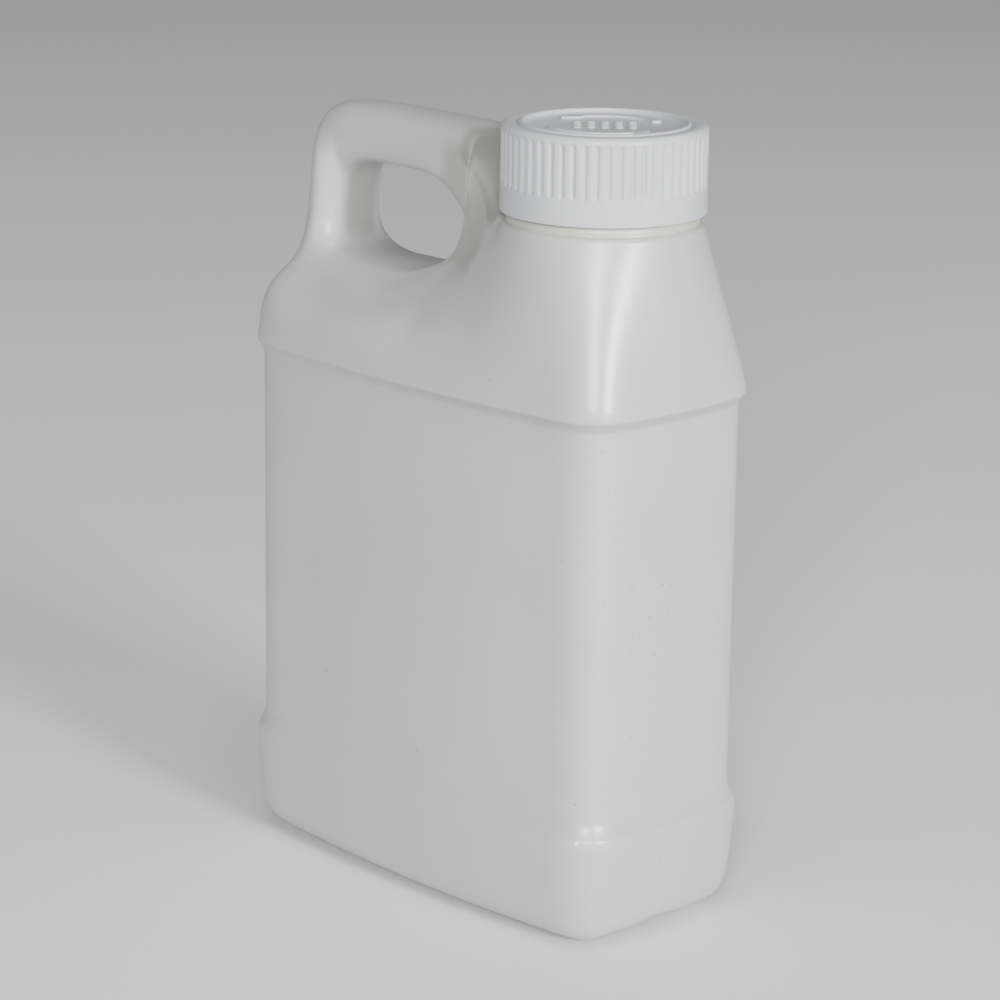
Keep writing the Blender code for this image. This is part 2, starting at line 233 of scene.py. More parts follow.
class BodySettings(bpy.types.PropertyGroup):
    """Sizes and finish of the blow-moulded body."""
    half_length: length("Half length", "Middle of the body to the narrow panel", 0.0563)
    half_depth: length("Half depth", "Parting plane to the wide panel", 0.0270)
    corner_radius: length("Corner radius", "Upright corners of the panel", 0.0084)
    wide_bow: length("Wide bow", "Crown of the wide face", 0.0040)
    narrow_bow: length("Narrow bow", "Crown of the narrow face", 0.0036)
    base_ridge_z: length("Base ridge height", "Height of the ridge over the foot", 0.0246)
    base_ridge_out: length("Base ridge", "How far that ridge stands out", 0.0018)
    shoulder_ridge_z: length("Shoulder ridge height", "Height of the ridge under the shoulder",
                             0.1179)
    shoulder_ridge_out: length("Shoulder ridge", "How far that ridge stands out", 0.0014)
    foot_radius: length("Foot radius", "Rounding between wall and underside", 0.0096)
    bar_top_z: length("Handle height", "Top of the handle's bar", 0.1702)
    shoulder_top_z: length("Shoulder height", "Where the shoulder meets the neck ring", 0.1516)
    shoulder_top_radius: length("Shoulder top radius", "Shoulder at the neck ring", 0.0217)
    neck_ring_radius: length("Neck ring radius", "Ring that shows under the cap", 0.0204)
    neck_radius: length("Neck radius", "Neck inside the cap", 0.0189)
    smoothing: IntProperty(name="Smoothing", description="Subdivision levels", default=3, min=1,
                           max=4)
    plastic: colour("Plastic", "Natural white polyethylene", (0.508, 0.510, 0.508))
    cream: colour("Cream", "Thick plastic at the neck", (0.54, 0.535, 0.475))
    roughness: share("Roughness", "Satin of the moulded wall", 0.335)


class CapSettings(bpy.types.PropertyGroup):
    """Sizes and finish of the screw cap."""
    axis_x: length("Axis", "Distance of neck and cap from the middle of the body", 0.0324)
    radius: length("Radius", "Outside of the cap", 0.02175)
    bottom_z: length("Bottom", "Height of the cap's lower edge", 0.1557)
    top_z: length("Top", "Height of the cap's flat top", 0.1741)
    rib_bottom_z: length("Rib bottom", "Where the grooves start over the smooth band", 0.1613)
    rib_top_z: length("Rib top", "Where the grooves end under the rim", 0.1727)
    groove_depth: length("Groove depth", "Depth of the grooves between the ribs", 0.0006)
    panel_radius: length("Panel radius", "Recessed panel in the top", 0.0167)
    panel_depth: length("Panel depth", "How far the panel lies below the top", 0.0007)
    ribs: IntProperty(name="Ribs", description="Ribs round the cap", default=55, min=12, max=120)
    plastic: colour("Plastic", "White moulded plastic", (0.55, 0.56, 0.57))
    roughness: share("Roughness", "Gloss of the cap", 0.30)


class StudioSettings(bpy.types.PropertyGroup):
    """Floor, room light and lamps."""
    floor_colour: colour("Floor", "Plain pale floor", (0.86, 0.86, 0.86))
    room_light: FloatProperty(name="Room light", description="Even light all round", default=0.20,
                              min=0.0)
    top_light: power("Top light", "Softbox overhead", 16.0)
    side_light: power("Side light", "Softbox on the neck's side", 57.0)
    front_light: power("Front light", "Broad softbox by the camera", 42.0)


class JugSettings(bpy.types.PropertyGroup):
    """All settings of the add-on."""
    body: PointerProperty(type=BodySettings)
    cap: PointerProperty(type=CapSettings)
    studio: PointerProperty(type=StudioSettings)


class Term:
    """One socket's value in a material. Arithmetic on it adds Math nodes."""

    def __init__(self, shader, socket):
        self.shader = shader
        self.socket = socket

    def math(self, operation, first, second=0.0):
        return self.shader.node("ShaderNodeMath", {"operation": operation}, {0: first, 1: second})

    def __add__(self, other):
        return self.math("ADD", self, other)

    def __sub__(self, other):
        return self.math("SUBTRACT", self, other)

    def __rsub__(self, other):
        return self.math("SUBTRACT", other, self)

    def __mul__(self, other):
        return self.math("MULTIPLY", self, other)

    def __abs__(self):
        return self.math("ABSOLUTE", self)

    def at_least(self, other):
        return self.math("MAXIMUM", self, other)

    def between(self, low, high):
        """0 at low and 1 at high, eased at both ends. high may be the smaller of the two."""
        settings = {"interpolation_type": "SMOOTHSTEP"}
        return self.shader.node("ShaderNodeMapRange", settings, {0: self, 1: low, 2: high})

    def inside(self, span):
        """0 outside the span's first and last value, easing to 1 between its two middle ones."""
        start, full, waning, end = span
        return self.between(start, full) * self.between(end, waning)

    __radd__ = __add__
    __rmul__ = __mul__


class Finish:
    """A procedural material: its nodes, and its maths written as Python expressions."""

    def __init__(self, name):
        self.material = bpy.data.materials.new(name)
        self.material.use_nodes = True
        self.tree = self.material.node_tree
        self.surface = self.tree.nodes["Principled BSDF"]
        self.place = self.node("ShaderNodeTexCoord", output="Object")

    def node(self, kind, settings=None, sockets=None, output=0):
        made = self.tree.nodes.new(kind)
        for name, value in (settings or {}).items():
            setattr(made, name, value)
        for name, value in (sockets or {}).items():
            self.feed(made.inputs[name], value)
        return Term(self, made.outputs[output])

    def feed(self, socket, value):
        if isinstance(value, Term):
            self.tree.links.new(value.socket, socket)
        else:
            socket.default_value = value

    def set(self, sockets):
        for name, value in sockets.items():
            self.feed(self.surface.inputs[name], value)

    def axis(self, name):
        return self.node("ShaderNodeSeparateXYZ", sockets={"Vector": self.place}, output=name)

    def noise(self, scale, detail=2.0, stretch=(1, 1, 1)):
        placed = self.node("ShaderNodeMapping", sockets={"Vector": self.place, "Scale": stretch})
        sockets = {"Vector": placed, "Scale": scale, "Detail": detail}
        return self.node("ShaderNodeTexNoise", sockets=sockets)

    def mix(self, factor, first, second):
        sockets = {0: factor, 6: first, 7: second}
        return self.node("ShaderNodeMix", {"data_type": "RGBA"}, sockets, output=2)

    def near(self, center, radius):
        """1 inside a small ball, easing to 0 at its edge."""
        gap = self.node("ShaderNodeVectorMath", {"operation": "DISTANCE"},
                        {0: self.place, 1: center}, output="Value")
        return gap.between(radius, radius * MARK_CORE)

    def reach(self, axis_x):
        """Distance from the upright axis of neck and cap."""
        sockets = {"Vector": self.place, "Location": (-axis_x, 0, 0), "Scale": (1, 1, 0)}
        flat = self.node("ShaderNodeMapping", sockets=sockets)
        return self.node("ShaderNodeVectorMath", {"operation": "LENGTH"}, {0: flat}, output="Value")

    def bump(self, height):
        return self.node("ShaderNodeBump", sockets={"Height": height, "Distance": BUMP_DISTANCE})


def arc(center, radius, start, stop, count):
    """Points on a circle in a plane, angles in degrees."""
    angles = np.radians(np.linspace(start, stop, count))
    return np.c_[center[0] + radius * np.cos(angles), center[1] + radius * np.sin(angles)]


def resample(path, shares):
    """Points at the given shares of a polyline's length."""
    steps = np.linalg.norm(np.diff(path, axis=0), axis=1)
    reached = np.r_[0, np.cumsum(steps)]
    wanted = np.array(shares) * reached[-1]
    return np.c_[np.interp(wanted, reached, path[:, 0]), np.interp(wanted, reached, path[:, 1])]


def through(points):
    """Cage points around a closed loop whose smoothed curve passes through the points given."""
    count = len(points)
    blend = np.zeros((count, count))
    for i in range(count):
        blend[i, i] = 4 / 6
        blend[i, (i - 1) % count] = 1 / 6
        blend[i, (i + 1) % count] = 1 / 6
    return np.linalg.solve(blend, points)


def wall_loop(body, out):
    """Front half of one level loop round the body, from the handle end to the neck end."""
    half_length = body.half_length + out
    half_depth = body.half_depth + out
    radius = max(body.corner_radius + out, 0.001)
    arc_x = half_length - radius - body.narrow_bow * NARROW_REACH
    arc_y = half_depth - radius - body.wide_bow * WIDE_REACH
    wide_lean = math.atan(2 * body.wide_bow * arc_x / half_length ** 2)
    narrow_lean = math.atan(2 * body.narrow_bow * arc_y / half_depth ** 2)
    start = -90 + math.degrees(wide_lean)
    corner = arc((arc_x, -arc_y), radius, start, -math.degrees(narrow_lean), 3)
    wide_x, wide_y = corner[0]
    narrow_x, narrow_y = corner[2]
    wide = [(wide_x * s, -half_depth + (wide_y + half_depth) * s * s) for s in WIDE_SHARES[1:-1]]
    narrow = [(half_length - (half_length - narrow_x) * s * s, narrow_y * s)
              for s in NARROW_SHARES[1::-1]]
    right = np.vstack([corner, narrow])
    left = right[::-1] * (-1, 1)
    half = np.vstack([left, wide, right])
    back = half[-2:0:-1] * (1, -1)
    return through(np.vstack([half, back]))[:len(half)]


def wall_rows(body):
    """Height and distance outside the panel of each level loop, foot to shoulder ridge."""
    low = body.base_ridge_z
    high = body.shoulder_ridge_z
    ridge = body.base_ridge_out
    radius = body.foot_radius
    foot = ridge - FOOT_TAPER
    base = [(radius * up, foot - radius * inside) for up, inside in FOOT_ROUND]
    base += [
        (radius * FOOT_TOP, foot + FOOT_TAPER * 0.2),
        (low - 0.0035, ridge),
        (low - 0.0004, ridge + 0.0002),
    ]
    step_in = [(low + rise, ridge * part) for rise, part in STEP_IN]
    panel = [(low + PANEL_END_GAP, 0), ((low + high) / 2, 0), (high - PANEL_END_GAP, 0)]
    step_out = [(high - drop, body.shoulder_ridge_out * part) for drop, part in STEP_OUT]
    crest = [(high + rise, body.shoulder_ridge_out * part) for rise, part in CREST]
    return base + step_in + panel + step_out + crest


def neck_loop(axis_x, radius, z):
    """Front half of a level circle round the neck, from the handle side to the far end."""
    angles = np.radians(np.linspace(180, 360, NECK_COLUMNS))
    # The cage stands outside the circle that its smoothed curve follows
    reach = radius * 3 / (2 + math.cos(math.pi / (NECK_COLUMNS - 1)))
    return np.c_[axis_x + reach * np.cos(angles), reach * np.sin(angles), np.full(NECK_COLUMNS, z)]


def hole_outline():
    """Points round the hole in the parting plane, clockwise from its lower left corner."""
    left, right = HOLE_LEFT_X, HOLE_RIGHT_X
    bottom, top = HOLE_BOTTOM_Z, HOLE_TOP_Z
    low_left = (left + HOLE_LOW_LEFT, bottom + HOLE_LOW_LEFT)
    high_left = (left + HOLE_LEAN + HOLE_HIGH_LEFT, top - HOLE_HIGH_LEFT)
    path = np.vstack([
        arc(low_left, HOLE_LOW_LEFT, 225, 180, 6),
        arc(high_left, HOLE_HIGH_LEFT, 180, 90, 8),
        arc((right - HOLE_HIGH_RIGHT, top - HOLE_HIGH_RIGHT), HOLE_HIGH_RIGHT, 90, 0, 10),
        arc((right - HOLE_LOW_RIGHT, bottom + HOLE_LOW_RIGHT), HOLE_LOW_RIGHT, 0, -90, 8),
        arc(low_left, HOLE_LOW_LEFT, 270, 232, 5),
    ])
    return resample(np.vstack([path, path[:1]]), np.linspace(0, 1, HOLE_POINTS + 1))[:-1]


def handle_outline(body, neck_side):
    """Points along the outside of the handle loop, from the leg's root to the neck."""
    top = body.bar_top_z
    top_x = LEG_OUTER_X + LEG_LEAN
    path = np.vstack([
        [(LEG_OUTER_X, LEG_ROOT_Z), (LEG_OUTER_X, LEG_ROOT_Z + 0.0080)],
        arc((top_x + BAR_CORNER, top - BAR_CORNER), BAR_CORNER, 175, 90, 8),
        arc((BAR_END_X - BAR_NOSE, top - BAR_NOSE), BAR_NOSE, 90, -10, 6),
        SLOPE,
        [neck_side],
    ])
    return resample(path, LINE_SHARES)


def loop_section(outer, inner, half_width, power):
    """Seven points round the front half of the handle, outer line to inner line."""
    angles = np.radians(np.linspace(0, 180, 7))
    across = np.sign(np.cos(angles)) * np.abs(np.cos(angles)) ** (2 / power)
    deep = np.abs(np.sin(angles)) ** (2 / power)
    deep[[0, -1]] = 0
    x, z = (outer + inner) / 2
    reach_x, reach_z = (outer - inner) / 2
    return np.c_[x + reach_x * across, -half_width * SECTION_SWELL * deep, z + reach_z * across]


def handle_sections(body, axis_x):
    radius = body.shoulder_top_radius
    outer = handle_outline(body, (axis_x - radius, body.shoulder_top_z))
    inner = hole_outline()
    widths = np.interp(range(LOOP_SECTIONS), SECTION_AT, SECTION_HALF_WIDTH)
    powers = np.interp(range(LOOP_SECTIONS), SECTION_AT, SECTION_POWER)
    sections = np.array([loop_section(*at) for at in zip(outer, inner, widths, powers)])
    sections[-1, :3] = neck_loop(axis_x, radius, body.shoulder_top_z)[:3]
    sections[-1, 3, 2] -= NECK_ROOT_DROP
    return sections


def deck_sections(sections):
    """Rows over the deck under the hole, from the handle side of the web back to the leg."""
    rows = [sections[-1, 3:]]
    angles = np.radians((90, 60, 30, 0))
    for x, z in hole_outline()[LOOP_SECTIONS:]:
        drop = DECK_DROP + DECK_DISH * max(0.0, x - DECK_DISH_X)
        y = -DECK_HALF_WIDTH * np.sin(angles) ** DECK_POWER
        rows.append(np.c_[np.full(4, x), y, z - drop * (1 - np.cos(angles) ** DECK_POWER)])
    rows.append(sections[0, 3:])
    return np.array(rows)


def wall_patch(body, axis_x, sections, deck):
    """All level rows of the wall and shoulder, foot to the line where handle and neck begin."""
    rows = []
    for z, out in wall_rows(body):
        flat = wall_loop(body, out)
        rows.append(np.c_[flat, np.full(len(flat), z)])
    for row, part in zip(rows, CHANNEL_FADE):
        row[:, 2] += channel(row[:, 1]) * part
    neck = neck_loop(axis_x, body.shoulder_top_radius, body.shoulder_top_z)
    top = np.vstack([sections[0, :4], deck[-2:0:-1, 0], sections[-1, 3:4], neck[2:]])
    start = rows[-1]
    rounding = np.interp(range(len(top)), ROUNDING_COLUMNS, ROUNDING)
    fall = np.interp(range(len(top)), FALL_COLUMNS, FALL)
    pinch = np.interp(range(len(top)), PINCH_COLUMNS, PINCH)
    powers = 1 + rounding[:, None] * np.c_[np.full(len(top), ROUNDING_X), fall,
                                           np.full(len(top), -ROUNDING_Z)]
    for part in SHOULDER_ROWS:
        row = start + (top - start) * part ** powers
        row[:, 0] += pinch * 4 * part * (1 - part)
        rows.append(row)
    rows.append(top)
    return np.array(rows)


def channel(y):
    """Rise of the underside towards the channel that runs along its middle."""
    near = np.clip(1 - np.abs(y) / CHANNEL_HALF_WIDTH, 0, 1)
    return CHANNEL_DEPTH * near ** 1.5


def base_patch(wall):
    """Underside: two flat runners with the channel between them."""
    edge = wall[0]
    ends = len(CHANNEL_SHARES) + 1
    left = edge[:ends]
    right = edge[::-1][:ends]
    front = edge[ends - 1:len(edge) - ends + 1]
    spread = np.linspace(0, 1, len(front))[:, None]
    rows = []
    for j, part in enumerate(CHANNEL_SHARES):
        row = left[j] + (right[j] - left[j]) * spread
        row[1:-1, 0] = front[1:-1, 0]
        row[1:-1, 1] = front[1:-1, 1] * part
        row[1:-1, 2] = channel(row[1:-1, 1])
        rows.append(row)
    rows.append(front)
    return np.array(rows)


def neck_patch(body, cap):
    """Rounded top of the shoulder, the ring under the cap and the plain neck inside the cap."""
    ring = body.shoulder_top_z
    top = cap.top_z - CAP_THICKNESS - FIT_GAP
    profile = [
        (body.shoulder_top_radius, ring),
        (body.shoulder_top_radius - 0.0001, ring + 0.0010),
        (body.shoulder_top_radius - 0.0006, ring + 0.0017),
        (body.neck_ring_radius - 0.0001, ring + 0.0018),
        (body.neck_ring_radius + 0.0001, ring + 0.0028),
        (body.neck_ring_radius - 0.0003, ring + 0.0038),
        (body.neck_radius, ring + 0.0039),
        (body.neck_radius, ring + 0.0052),
        (body.neck_radius, top - 0.0012),
        (body.neck_radius, top - 0.0002),
        (body.neck_radius - 0.0010, top),
        (body.neck_radius * 0.5, top),
        (0.0, top),
    ]
    return np.array([neck_loop(cap.axis_x, radius, z) for radius, z in profile])


def add_patch(bm, points):
    """One grid of quads whose corners are the points of a rows x columns array."""
    rows, columns = points.shape[:2]
    made = bmesh.ops.create_grid(bm, x_segments=columns - 1, y_segments=rows - 1, size=1)
    for vert in made["verts"]:
        j = round((vert.co.x + 1) / 2 * (columns - 1))
        i = round((vert.co.y + 1) / 2 * (rows - 1))
        vert.co = points[i, j]


def on_line(edge, points):
    """True for an edge of the cage, on either side of the parting plane, that joins the points."""
    for vert in edge.verts:
        place = np.array((vert.co.x, -abs(vert.co.y), vert.co.z))
        if np.linalg.norm(points - place, axis=1).min() >= WELD:
            return False
    return True


def on_runner(edge):
    """True for an edge of the two flat strips that the jug stands on."""
    for vert in edge.verts:
        x, y, z = vert.co
        if z >= WELD or abs(y) <= CHANNEL_HALF_WIDTH or abs(x) >= RUNNER_HALF_LENGTH:
            return False
    return True


def body_mesh(body, cap):
    sections = handle_sections(body, cap.axis_x)
    deck = deck_sections(sections)
    wall = wall_patch(body, cap.axis_x, sections, deck)
    bm = bmesh.new()
    for points in (base_patch(wall), wall, sections, deck, neck_patch(body, cap)):
        add_patch(bm, points)
    bmesh.ops.remove_doubles(bm, verts=bm.verts, dist=WELD)
    bmesh.ops.dissolve_degenerate(bm, dist=WELD / 2, edges=bm.edges)
    bmesh.ops.mirror(bm, geom=bm.verts[:] + bm.edges[:] + bm.faces[:], axis="Y", merge_dist=WELD)
    bmesh.ops.recalc_face_normals(bm, faces=bm.faces)
    lines = [(wall[-EDGE_ROWS:, EDGE_COLUMN], EDGE_CREASE)]
    lines += [(wall[row], LIP_CREASE) for row in LIP_ROWS]
    lines += [(sections[-SLOPE_SECTIONS:, SLOPE_COLUMN], SLOPE_CREASE)]
    crease = bm.edges.layers.float.new("crease_edge")
    for edge in bm.edges:
        if on_runner(edge):
            edge[crease] = 1.0
            continue
        for points, sharpness in lines:
            if on_line(edge, points):
                edge[crease] = sharpness
                break
    return as_mesh(bm, "jug_body")


def as_mesh(bm, name):
    mesh = bpy.data.meshes.new(name)
    bm.to_mesh(mesh)
    bm.free()
    return mesh


def cap_profile(cap, neck_radius):
    """Radius and height along the cup, from the middle of its top to the middle of its inside."""
    low, top = cap.bottom_z, cap.top_z
    inner = neck_radius + FIT_GAP
    edge, panel = cap.radius, cap.panel_radius
    rim = arc((edge - 0.0012, cap.rib_top_z + 0.0002), 0.0012, 90, 0, 6)
    ring = arc((panel + 0.0009, top - 0.0003), 0.0006, 200, -20, 9)
    foot = arc((edge - 0.0001, low + 0.0002), 0.0002, 10, -90, 4)
    fade = np.linspace(0, 0.0012, 4)
    return np.vstack([
        [(0.0, top - cap.panel_depth), (panel - 0.0004, top - cap.panel_depth)],
        [(panel, top - cap.panel_depth + 0.0001)],
        ring,
        [(panel + 0.0018, top - 0.0001), (edge - 0.0022, top)],
        rim,
        np.c_[np.full(4, edge), cap.rib_top_z - fade],
        np.c_[np.full(4, edge), cap.rib_bottom_z + fade[::-1]],
        [(edge, cap.rib_bottom_z - 0.0004), (edge + 0.0001, low + 0.0010)],
        foot,
        [(inner, low), (inner, top - CAP_THICKNESS), (0.0, top - CAP_THICKNESS)],
    ])


def groove(cap, turn, z):
    """How far the wall lies inside the ribs' crests, at a turn counted in ribs and a height."""
    off_crest = abs((turn % 1.0) - 0.5) * 2
    flank = min(max((off_crest - RIB_CREST) / RIB_FLANK, 0.0), 1.0)
    rounded = min(off_crest / RIB_CREST, 1.0) ** 2
    sunk = RIB_ROUND * rounded + (1 - RIB_ROUND) * flank * flank * (3 - 2 * flank)
    ends = min(z - cap.rib_bottom_z, cap.rib_top_z - z) / RIB_END
    ends = min(max(ends, 0.0), 1.0)
    return cap.groove_depth * sunk * math.sqrt(1 - (1 - ends) ** 2)


def cap_mesh(cap, neck_radius):
    """The cap's profile spun about its axis, with rounded ribs round the wall."""
    steps = STEPS_PER_RIB * cap.ribs
    bm = bmesh.new()
    profile = [bm.verts.new((radius, 0, z)) for radius, z in cap_profile(cap, neck_radius)]
    edges = [bm.edges.new(pair) for pair in zip(profile, profile[1:])]
    bmesh.ops.spin(bm, geom=profile + edges, cent=(0, 0, 0), axis=(0, 0, 1), angle=math.tau,
                   steps=steps, use_merge=True)
    bmesh.ops.remove_doubles(bm, verts=bm.verts, dist=WELD)
    for vert in bm.verts:
        reach = math.hypot(vert.co.x, vert.co.y)
        if reach > cap.radius - 0.0002 and cap.rib_bottom_z < vert.co.z < cap.rib_top_z:
            turn = math.atan2(vert.co.y, vert.co.x) / math.tau * cap.ribs + 0.5
            narrower = 1 - groove(cap, turn, vert.co.z) / reach
            vert.co.x *= narrower
            vert.co.y *= narrower
    bmesh.ops.recalc_face_normals(bm, faces=bm.faces)
    bmesh.ops.translate(bm, verts=bm.verts, vec=(cap.axis_x, 0, 0))
    return as_mesh(bm, "jug_cap")


def add_arrow_shaft(bm, start, base_z):
    """A strip of a ring, standing up from the cap's panel, with a narrowed top."""
    inner = bm.verts.new((ARROW_RADIUS - ARROW_WIDTH / 2, 0, base_z))
    outer = bm.verts.new((ARROW_RADIUS + ARROW_WIDTH / 2, 0, base_z))
    line = bm.edges.new((inner, outer))
    turned = Matrix.Rotation(start, 3, "Z")
    bmesh.ops.rotate(bm, verts=[inner, outer], cent=(0, 0, 0), matrix=turned)
    before = set(bm.faces)
    bmesh.ops.spin(bm, geom=[inner, outer, line], cent=(0, 0, 0), axis=(0, 0, 1), angle=ARROW_TURN,
                   steps=round(math.degrees(ARROW_TURN) / 6))
    raise_faces(bm, [face for face in bm.faces if face not in before])


def add_arrow_head(bm, at, base_z):
    """A triangle at a strip's end, so that strip and triangle read as a turning arrow."""
    made = bmesh.ops.create_circle(bm, cap_ends=True, segments=3, radius=HEAD_SIZE)
    verts = made["verts"]
    bmesh.ops.rotate(bm, verts=verts, cent=(0, 0, 0), matrix=Matrix.Rotation(at, 3, "Z"))
    place = Vector((ARROW_RADIUS * math.cos(at), ARROW_RADIUS * math.sin(at), base_z))
    bmesh.ops.translate(bm, verts=verts, vec=place)
    raise_faces(bm, verts[0].link_faces[:])


def add_dot(bm, place):
    """A flattened ball, half sunk in the cap's panel."""
    made = bmesh.ops.create_uvsphere(bm, u_segments=12, v_segments=6, radius=DOT_RADIUS)
    bmesh.ops.scale(bm, verts=made["verts"], vec=DOT_FORM)
    bmesh.ops.translate(bm, verts=made["verts"], vec=place)


def raise_faces(bm, faces):
    """Turns flat faces into a plateau with sloping sides and a closed bottom."""
    grown = bmesh.ops.extrude_face_region(bm, geom=faces, use_keep_orig=True)
    top = [part for part in grown["geom"] if isinstance(part, bmesh.types.BMVert)]
    center = sum((vert.co for vert in top), Vector()) / len(top)
    bmesh.ops.translate(bm, verts=top, vec=(0, 0, MARK_HEIGHT))
    bmesh.ops.scale(bm, verts=top, vec=(MARK_TAPER, MARK_TAPER, 1),
                    space=Matrix.Translation(-center))


def relief_mesh(cap):
    """Plain turning arrows and rows of dots on the cap's panel."""
    base_z = cap.top_z - cap.panel_depth - MARK_SINK
    bm = bmesh.new()
    for start in ARROW_STARTS:
        add_arrow_shaft(bm, start, base_z)
        add_arrow_head(bm, start + HEAD_TURN, base_z)
    for across in (-1, 0, 1):
        for along in (-2, -1, 0, 1, 2):
            add_dot(bm, (along * DOT_STEPS[0], across * DOT_STEPS[1], base_z))
    bmesh.ops.recalc_face_normals(bm, faces=bm.faces)
    turned = Matrix.Rotation(MARKS_TURN, 3, "Z")
    bmesh.ops.rotate(bm, verts=bm.verts, cent=(0, 0, 0), matrix=turned)
    bmesh.ops.translate(bm, verts=bm.verts, vec=(cap.axis_x, 0, 0))
    return as_mesh(bm, "cap_relief")


# Dust and pits on the wall, read off the photograph: pixels across, pixels down, and size
# in steps above the smallest radius
SPECKS = (
    (602, 452, 3), (594, 481, 2), (609, 491, 3), (571, 536, 2), (562, 561, 3), (592, 578, 3),
    (632, 586, 4), (662, 585, 6), (671, 585, 4), (666, 599, 3), (667, 609, 4), (604, 605, 3),
    (650, 617, 4), (719, 617, 3), (632, 635, 3), (639, 635, 3), (699, 644, 3), (548, 644, 2),
    (667, 646, 3), (630, 651, 3), (654, 654, 5), (654, 674, 3), (630, 683, 2), (699, 724, 3),
    (630, 737, 3), (690, 778, 3), (575, 805, 4), (692, 812, 2), (727, 834, 5), (660, 862, 3),
    (675, 881, 3), (692, 404, 3), (327, 670, 4), (417, 750, 4), (490, 380, 3), (650, 360, 3),
)
SPECK_LEAST = 0.00014
SPECK_STEP = 0.00007

# Bright rub marks on the base ridge at the near corner: place and radius
RUBS = (
    ((0.0540, -0.0222, 0.0262), 0.0009),
    ((0.0552, -0.0207, 0.0281), 0.0010),
    ((0.0553, -0.0205, 0.0256), 0.0008),
    ((0.0520, -0.0240, 0.0256), 0.0008),
)

# Share of such a mark's radius that it fills evenly
MARK_CORE = 0.45

# Painted light in the plastic's colour: a painted highlight on the corner of the handle's leg,
# painted shade where the handle is shaded from both sides, and deeper painted shade where the cap
# shades it as well; then the colours of the specks and the rub marks
PAINTED_HIGHLIGHT = (0.80, 0.80, 0.80, 1.0)
PAINTED_SHADE = (0.34, 0.35, 0.295, 1.0)
DEEP_SHADE = (0.23, 0.24, 0.19, 1.0)
SPECK_COLOUR = (0.14, 0.13, 0.10, 1.0)
RUB_COLOUR = (0.92, 0.92, 0.90, 1.0)

# Where those places lie. Four values give where a place starts, is full, wanes and ends along X or
# Z, and two give where its mask is 0 and where it is 1
# Places of the painted shade round the finger hole and on the web beside it
HOLLOW_X = (-0.0476, -0.0452, -0.0100, -0.0060)
HOLLOW_Z = (0.1370, 0.1420, 0.1557, 0.1597)
HOLLOW_SIDE = (0.0062, 0.0026)
HOLLOW_WIDENS = (-0.030, -0.010)
HOLLOW_SHADE = 0.5
WEB_X = (-0.0105, -0.0055, 0.0060, 0.0110)
WEB_Z = (0.1370, 0.1420, 0.1632, 0.1676)
WEB_SHADE = 0.85
# Place of the painted highlight on the corner of the handle's leg
LEG_HIGHLIGHT_X = (-0.0530, -0.0485, -0.0452, -0.0425)
LEG_HIGHLIGHT_Z = (0.1330, 0.1430, 0.1560, 0.1650)
LEG_HIGHLIGHT_SIDE = (0.0022, 0.0060)

# The slope between the handle and the cap, beneath which lies the deeper painted shade: the way it
# faces in X and Z, its distance from the origin, and the place and depth of that shade
SLOPE_FACING = (0.751, 0.660)
SLOPE_REACH = 0.1082
SLOPE_X = (-0.0050, -0.0012, 0.0105, 0.0125)
SLOPE_Z = (0.1490, 0.1520, 0.1682, 0.1700)
SLOPE_DEPTH = (0.0034, 0.0020)

# Parting line, which fades towards the neck, painted shade along the fold under the shoulder ridge,
# which fades towards the handle, and the thick plastic of the ring under the cap
SEAM_SIDE = (0.00034, 0.00008)
SEAM_FADES = (0.0120, 0.0060)
FOLD_SHADE_DROP = 0.0023
FOLD_SHADE_REACH = (0.0017, 0.0005)
FOLD_SHADE_GROWS = (-0.045, 0.010)
RING_REACH = (0.0226, 0.0214)
RING_RISE = (0.0009, 0.0019)

# Noise in the plastics: scale, detail and stretch
CLOUD = (28, 3)
STREAK = (1, 3, (620, 620, 38))
GRAIN = (2600, 2)
WAVE = (38, 1)
CAP_CLOUD = (60, 2)
CAP_GRAIN = (3200, 2)
CAP_SCUFF = (1, 4, (300, 300, 2200))
BUMP_DISTANCE = 0.0006


def marked(finish, places):
    """1 on each of the places, which are given with their radius, and 0 elsewhere."""
    marks = finish.near(*places[0])
    for center, radius in places[1:]:
        marks = marks.at_least(finish.near(center, radius))
    return marks


def seen_at(piece, across, down):
    """Place on a piece's smoothed surface that the camera shows at a pixel of the photograph."""
    focal = CAMERA_LENS_MM / CAMERA_SENSOR_MM * PHOTO_SIZE
    turned = facing(CAMERA_AZIMUTH, CAMERA_ELEVATION, CAMERA_ROLL)
    ray = turned @ Vector((across - PHOTO_SIZE / 2, PHOTO_SIZE / 2 - down, -focal)).normalized()
    surface = piece.evaluated_get(bpy.context.evaluated_depsgraph_get())
    return surface.ray_cast(Vector(CAMERA_PLACE), ray)[1]


def opaque(rgb, brightness=1.0):
    return tuple(brightness * part for part in rgb) + (1.0,)


def handle_painted_light(along, side, height):
    """Masks of painted shade round the handle's hole, deeper painted shade beside the cap, and a
    painted highlight on its leg.
    """
    middle = side.between(*HOLLOW_SIDE).at_least(along.between(*HOLLOW_WIDENS))
    hollow = along.inside(HOLLOW_X) * height.inside(HOLLOW_Z) * middle
    web = along.inside(WEB_X) * height.inside(WEB_Z)
    below_slope = SLOPE_REACH - (SLOPE_FACING[0] * along + SLOPE_FACING[1] * height)
    # Deeper painted shade on the slope beside the cap, where the cap shades it
    deep = below_slope.between(*SLOPE_DEPTH) * along.inside(SLOPE_X) * height.inside(SLOPE_Z)
    # Painted highlight on the corner of the leg
    leg_highlight = along.inside(LEG_HIGHLIGHT_X) * height.inside(LEG_HIGHLIGHT_Z) * side.between(*LEG_HIGHLIGHT_SIDE)
    return HOLLOW_SHADE * hollow + WEB_SHADE * web, deep, leg_highlight


